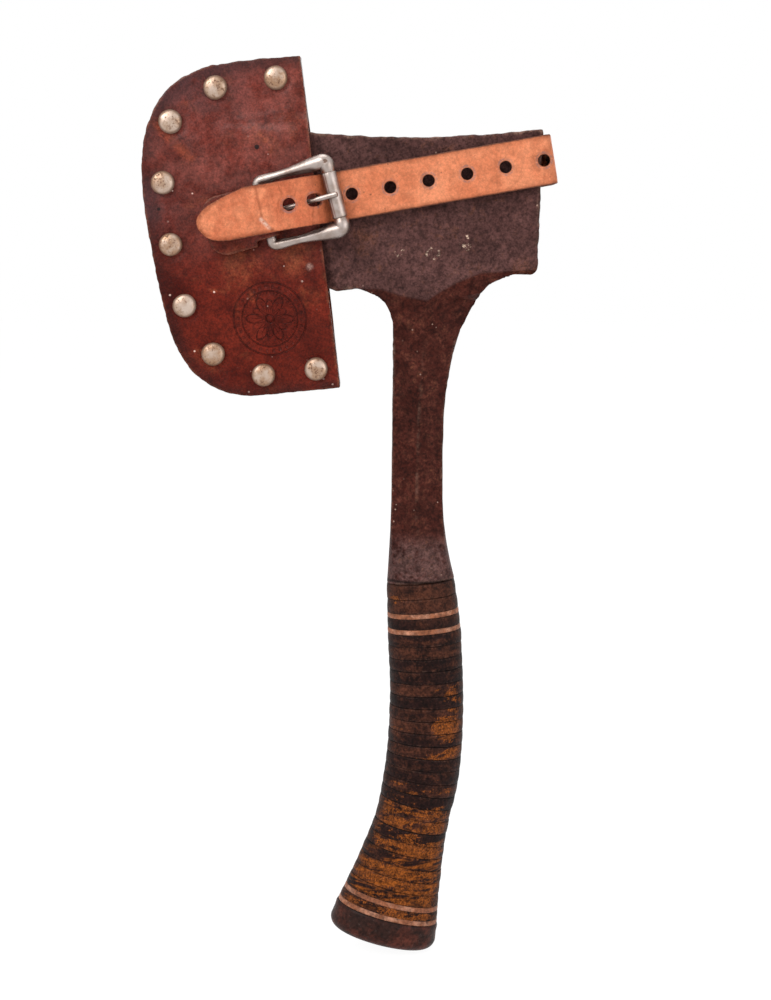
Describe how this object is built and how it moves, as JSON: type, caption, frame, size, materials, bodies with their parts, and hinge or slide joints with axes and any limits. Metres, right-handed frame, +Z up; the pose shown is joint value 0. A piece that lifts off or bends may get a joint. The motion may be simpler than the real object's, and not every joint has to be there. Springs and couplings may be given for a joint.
{
  "type": "hatchet",
  "caption": "One-piece forged hatchet with a stacked leather grip, its blade in a riveted leather sheath held on by a buckled strap round the poll.",
  "frame": {"origin": "middle of the hand grip, in the plane of the blade", "axes": "+X from the cutting edge to the poll, +Y through the thickness to the back of the sheath, +Z up the handle to the head"},
  "size_m": [0.1651, 0.0399, 0.3685],
  "materials": {
    "forged_steel": "dark aged patina",
    "grip_leather": "worn, nearly black",
    "spacer": "satin, stained",
    "cap_leather": "smooth, worn",
    "sheath_leather": "semi-gloss, worn",
    "strap_leather": "satin, worn",
    "rivet_brass": "aged, speckled",
    "buckle_nickel": "worn nickel plate"
  },
  "bodies": {
    "hatchet": {"forged_body": "forged_steel", "leather_washer_01": "grip_leather", "leather_washer_02": "grip_leather", "leather_washer_03": "grip_leather", "leather_washer_04": "grip_leather", "leather_washer_05": "grip_leather", "leather_washer_06": "grip_leather", "leather_washer_07": "grip_leather", "leather_washer_08": "grip_leather", "leather_washer_09": "grip_leather", "leather_washer_10": "grip_leather", "leather_washer_11": "grip_leather", "leather_washer_12": "grip_leather", "leather_washer_13": "grip_leather", "leather_washer_14": "grip_leather", "leather_washer_15": "grip_leather", "leather_washer_16": "grip_leather", "leather_washer_17": "grip_leather", "leather_washer_18": "grip_leather", "leather_washer_19": "grip_leather", "leather_washer_20": "grip_leather", "leather_washer_21": "grip_leather", "leather_washer_22": "grip_leather", "leather_washer_23": "grip_leather", "leather_washer_24": "grip_leather", "leather_washer_25": "grip_leather", "leather_washer_26": "grip_leather", "spacer_ring_01": "spacer", "spacer_ring_02": "spacer", "spacer_ring_03": "spacer", "spacer_ring_04": "spacer", "butt_cap": "cap_leather"},
    "sheath": {"front_panel": "sheath_leather", "back_panel": "sheath_leather", "welt": "sheath_leather", "edge_rivet_caps": "rivet_brass", "edge_rivet_posts": "rivet_brass", "strap_back": "strap_leather", "strap_rivets": "rivet_brass", "chape": "sheath_leather", "chape_rivet": "rivet_brass"},
    "strap_free": {"strap_front": "strap_leather"},
    "strap_tail": {"strap_tip": "strap_leather"},
    "buckle_frame": {"buckle_frame": "buckle_nickel"},
    "buckle_roller": {"buckle_roller": "buckle_nickel"},
    "buckle_tongue": {"buckle_tongue": "buckle_nickel"}
  },
  "joints": [
    {"name": "sheath_slide", "type": "slide", "parent": "hatchet", "child": "sheath", "axis": [-1, 0, 0], "range_m": [0, 0.1]},
    {"name": "strap_open", "type": "hinge", "parent": "sheath", "child": "strap_free", "pos_m": [0.04696, 0.0112, 0.24845], "axis": [-0.1697, 0, 0.9855], "range_deg": [0, 165], "deforming": ["strap_front"]},
    {"name": "tail_lift", "type": "hinge", "parent": "strap_free", "child": "strap_tail", "pos_m": [-0.06215, -0.01529, 0.22966], "axis": [-0.1697, 0, 0.9855], "range_deg": [0, 50], "deforming": ["strap_tip"]},
    {"name": "buckle_lift", "type": "hinge", "parent": "sheath", "child": "buckle_frame", "pos_m": [-0.063, -0.01314, 0.2277], "axis": [-0.2538, 0, 0.9673], "range_deg": [-3, 0]},
    {"name": "roller_spin", "type": "hinge", "parent": "buckle_frame", "child": "buckle_roller", "pos_m": [-0.03543, -0.0184, 0.23493], "axis": [-0.2538, 0, 0.9673], "continuous": true},
    {"name": "tongue_swing", "type": "hinge", "parent": "buckle_frame", "child": "buckle_tongue", "pos_m": [-0.063, -0.01314, 0.2277], "axis": [-0.2538, 0, 0.9673], "range_deg": [-80, 0]}
  ],
  "couplings": [
    {"joint": "strap_open", "follows": "sheath_slide", "rad_per_m": 28.795},
    {"joint": "tongue_swing", "follows": "sheath_slide", "rad_per_m": -13.961}
  ]
}
